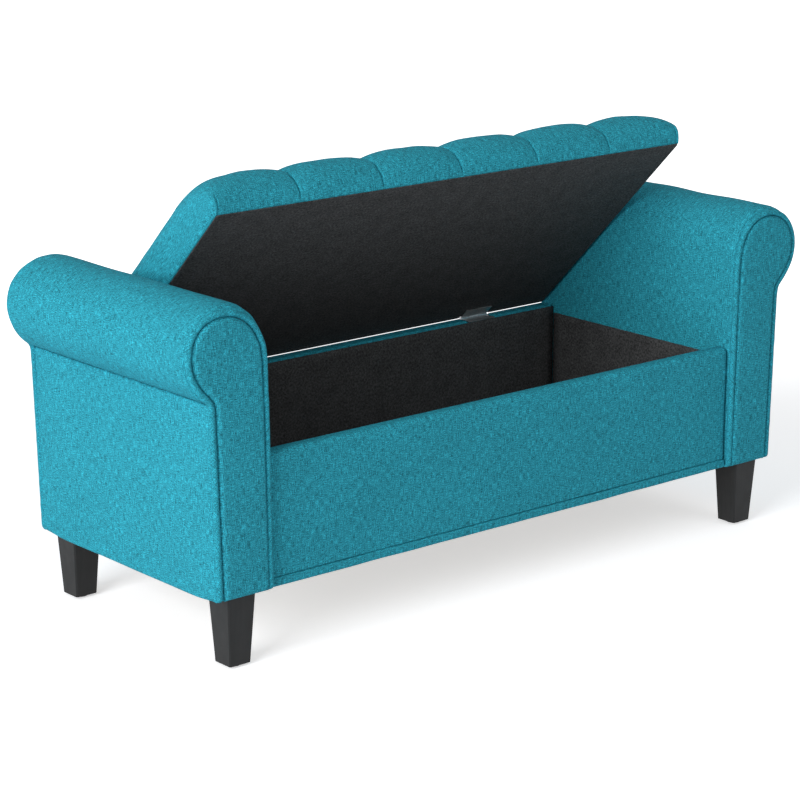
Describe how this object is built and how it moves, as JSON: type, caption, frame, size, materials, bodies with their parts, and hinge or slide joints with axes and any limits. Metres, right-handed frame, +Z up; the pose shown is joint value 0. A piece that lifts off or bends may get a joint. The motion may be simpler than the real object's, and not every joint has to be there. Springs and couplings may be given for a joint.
{
  "type": "storage ottoman",
  "caption": "Long upholstered storage ottoman with rolled arms, piped facings, tapered black legs and a hinged biscuit-tufted lid held open over its storage box.",
  "frame": {"origin": "on the floor, at the centre of the footprint the ottoman covers with its lid open as pictured", "axes": "+X from the left arm to the right arm along the bench, +Y from front to back, +Z up"},
  "size_m": [1.27, 0.5022, 0.6963],
  "materials": {
    "upholstery": "woven linen look, matt",
    "piping": "woven linen look, matt, over cord",
    "lining": "matt black non-woven",
    "foam": "open-cell foam, stated as fabric",
    "card": "wound card",
    "frame_wood": "raw board",
    "leg_wood": "black satin lacquer",
    "glide": "matt",
    "hinge_steel": "zinc plated",
    "fastener": "zinc plated"
  },
  "bodies": {
    "base": {"arm_left_base_plate": "frame_wood", "arm_left_front_board": "frame_wood", "arm_left_front_facing": "upholstery", "arm_left_front_welt": "piping", "arm_left_inner_board": "frame_wood", "arm_left_lining": "lining", "arm_left_outer_board": "frame_wood", "arm_left_outer_cover": "upholstery", "arm_left_rear_board": "frame_wood", "arm_left_rear_facing": "upholstery", "arm_left_rear_welt": "piping", "arm_left_roll_cover": "upholstery", "arm_left_roll_foam": "foam", "arm_left_roll_tube": "card", "arm_right_base_plate": "frame_wood", "arm_right_front_board": "frame_wood", "arm_right_front_facing": "upholstery", "arm_right_front_welt": "piping", "arm_right_inner_board": "frame_wood", "arm_right_lining": "lining", "arm_right_outer_board": "frame_wood", "arm_right_outer_cover": "upholstery", "arm_right_rear_board": "frame_wood", "arm_right_rear_facing": "upholstery", "arm_right_rear_welt": "piping", "arm_right_roll_cover": "upholstery", "arm_right_roll_foam": "foam", "arm_right_roll_tube": "card", "back_board": "frame_wood", "back_cover": "upholstery", "back_lining": "lining", "bottom_battens": "frame_wood", "bottom_board": "frame_wood", "bottom_lining": "lining", "front_band": "upholstery", "front_board": "frame_wood", "front_cover": "upholstery", "front_lining": "lining", "hinge_base_screws": "hinge_steel", "hinge_left_base_leaf": "hinge_steel", "hinge_pins": "hinge_steel", "hinge_right_base_leaf": "hinge_steel", "leg_front_left": "leg_wood", "leg_front_right": "leg_wood", "leg_glides": "glide", "leg_nuts": "fastener", "leg_rear_left": "leg_wood", "leg_rear_right": "leg_wood", "leg_studs": "fastener", "panel_bolts": "fastener", "panel_cross_nuts": "fastener"},
    "lid": {"hinge_left_lid_leaf": "hinge_steel", "hinge_lid_screws": "hinge_steel", "hinge_right_lid_leaf": "hinge_steel", "lid_board": "frame_wood", "lid_cover": "upholstery", "lid_foam": "foam", "lid_lining": "lining"}
  },
  "joints": [
    {"name": "lid_hinge", "type": "hinge", "parent": "base", "child": "lid", "pos_m": [0, 0.205, 0.3191], "axis": [-1, 0, 0], "range_deg": [-45.1, 44.9]}
  ]
}
